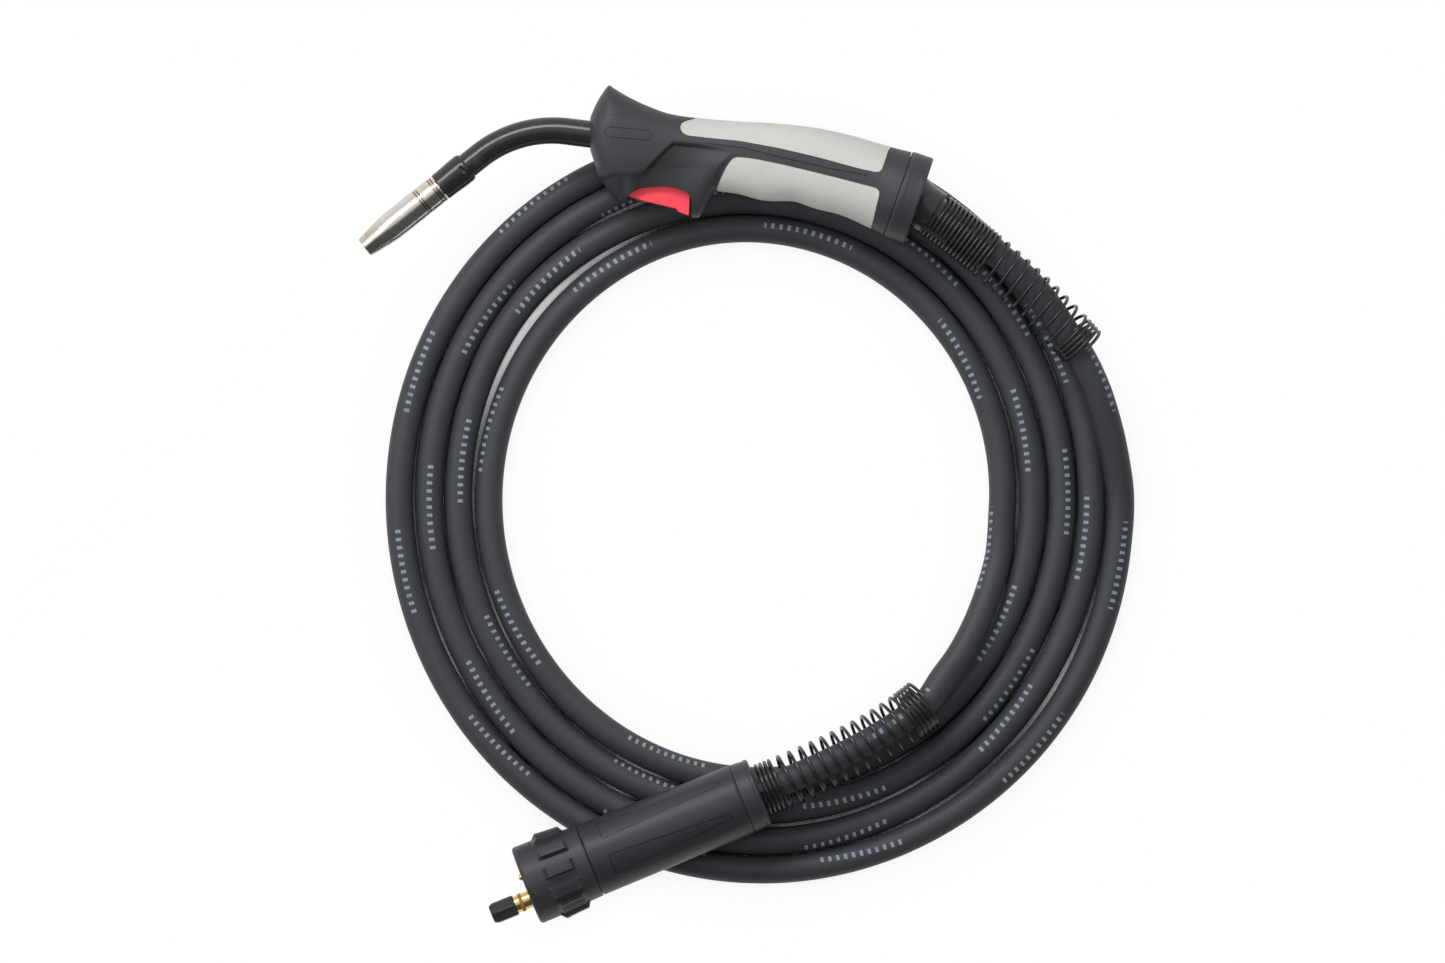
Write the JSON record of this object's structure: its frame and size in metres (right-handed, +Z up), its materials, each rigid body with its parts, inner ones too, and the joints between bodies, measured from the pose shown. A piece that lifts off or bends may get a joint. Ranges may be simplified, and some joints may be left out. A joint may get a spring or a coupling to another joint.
{
  "type": "MIG welding torch",
  "caption": "Welding torch with a bent neck, grip with trigger, coiled cable in a swivel and spring guards, and a central connector with union nut.",
  "frame": {"origin": "mouth of the contact tip, on its bore's axis", "axes": "+X along the handle from the nozzle's end towards the swivel, +Y across it away from the connector, +Z up from the floor the coil lies on"},
  "size_m": [0.4492, 0.4849, 0.0685],
  "materials": {
    "nozzle_nickel": "bright nickel plate",
    "tip_copper": "drawn copper",
    "holder_brass": "turned",
    "plug_brass": "turned",
    "liner_steel": "wound steel",
    "screw_steel": "zinc plated",
    "sleeve_black": "glossy black",
    "collar_black": "matt black",
    "handle_plastic": "fine grain dark grey",
    "pad_grey": "soft warm grey",
    "trigger_red": "satin red",
    "seat_nylon": "natural nylon",
    "cable_rubber": "matt black rubber",
    "spring_black": "glossy black",
    "nut_plastic": "satin black",
    "insulator_red": "dark red",
    "lead_brown": "insulated wire"
  },
  "bodies": {
    "cable": {"cable_coil": "cable_rubber", "handle_lead": "cable_rubber", "connector_lead": "cable_rubber", "handle_spring": "spring_black", "connector_spring": "spring_black", "swivel_ball": "collar_black", "plug_insulator": "insulator_red", "plug_barrel": "plug_brass", "o_rings": "insulator_red", "power_ferrule": "tip_copper", "cable_gland": "collar_black", "connector_shell_upper": "nut_plastic", "connector_shell_lower": "nut_plastic", "connector_rear_ring": "nut_plastic"},
    "swivel": {"swivel_seat": "seat_nylon"},
    "handle": {"handle_shell_left": "handle_plastic", "handle_shell_right": "handle_plastic", "handle_screws": "screw_steel", "upper_grip_left": "pad_grey", "upper_grip_right": "pad_grey", "lower_grip_left": "pad_grey", "lower_grip_right": "pad_grey", "lock_ring": "handle_plastic", "trigger_pin": "screw_steel", "microswitch_body": "collar_black", "switch_leads": "lead_brown", "power_core": "lead_brown", "tip_holder": "holder_brass", "nozzle_insulator": "collar_black", "nozzle_spring": "liner_steel", "neck_collar": "collar_black", "gooseneck_tube": "tip_copper", "gooseneck_sleeve": "sleeve_black", "wire_liner": "liner_steel", "neck_nut": "holder_brass"},
    "trigger": {"trigger": "trigger_red"},
    "switch_button": {"microswitch_button": "trigger_red"},
    "nozzle": {"gas_nozzle": "nozzle_nickel"},
    "tip": {"contact_tip": "tip_copper"},
    "union_nut": {"union_nut": "nut_plastic"},
    "cap": {"pin_cap": "collar_black"},
    "pin_upper": {"contact_pin_upper": "plug_brass"},
    "pin_lower": {"contact_pin_lower": "plug_brass"}
  },
  "joints": [
    {"name": "ball_swing", "type": "hinge", "parent": "cable", "child": "swivel", "pos_m": [0.31372, 0.02681, 0], "axis": [0, 0, 1], "range_deg": [-20, 3]},
    {"name": "ball_lift", "type": "hinge", "parent": "swivel", "child": "handle", "pos_m": [0.31372, 0.02681, 0], "axis": [0.3256, 0.9455, 0], "range_deg": [0, 14]},
    {"name": "trigger_pull", "type": "hinge", "parent": "handle", "child": "trigger", "pos_m": [0.15472, 0.03641, 0], "axis": [0, 0, 1], "range_deg": [0, 4.5], "stiffness_Nm_per_rad": 0.8, "springref_deg": -4.58},
    {"name": "switch_press", "type": "slide", "parent": "handle", "child": "switch_button", "axis": [0, 1, 0], "range_m": [0, 0.0016]},
    {"name": "nozzle_pull", "type": "slide", "parent": "handle", "child": "nozzle", "axis": [-0.7815, -0.6239, 0], "range_m": [0, 0.06]},
    {"name": "tip_unscrew", "type": "slide", "parent": "handle", "child": "tip", "axis": [-0.7815, -0.6239, 0], "range_m": [0, 0.01]},
    {"name": "nut_turn", "type": "hinge", "parent": "cable", "child": "union_nut", "pos_m": [0.0911, -0.37132, -0.0046], "axis": [0.9272, 0.3746, 0], "continuous": true},
    {"name": "cap_pull", "type": "slide", "parent": "cable", "child": "cap", "axis": [-0.9272, -0.3746, 0], "range_m": [0, 0.03]},
    {"name": "upper_pin_press", "type": "slide", "parent": "cable", "child": "pin_upper", "axis": [0.9272, 0.3746, 0], "range_m": [0, 0.003], "stiffness_N_per_m": 300, "springref_m": -0.002},
    {"name": "lower_pin_press", "type": "slide", "parent": "cable", "child": "pin_lower", "axis": [0.9272, 0.3746, 0], "range_m": [0, 0.003], "stiffness_N_per_m": 300, "springref_m": -0.002}
  ],
  "couplings": [
    {"joint": "switch_press", "follows": "trigger_pull", "m_per_rad": 0.0195}
  ]
}
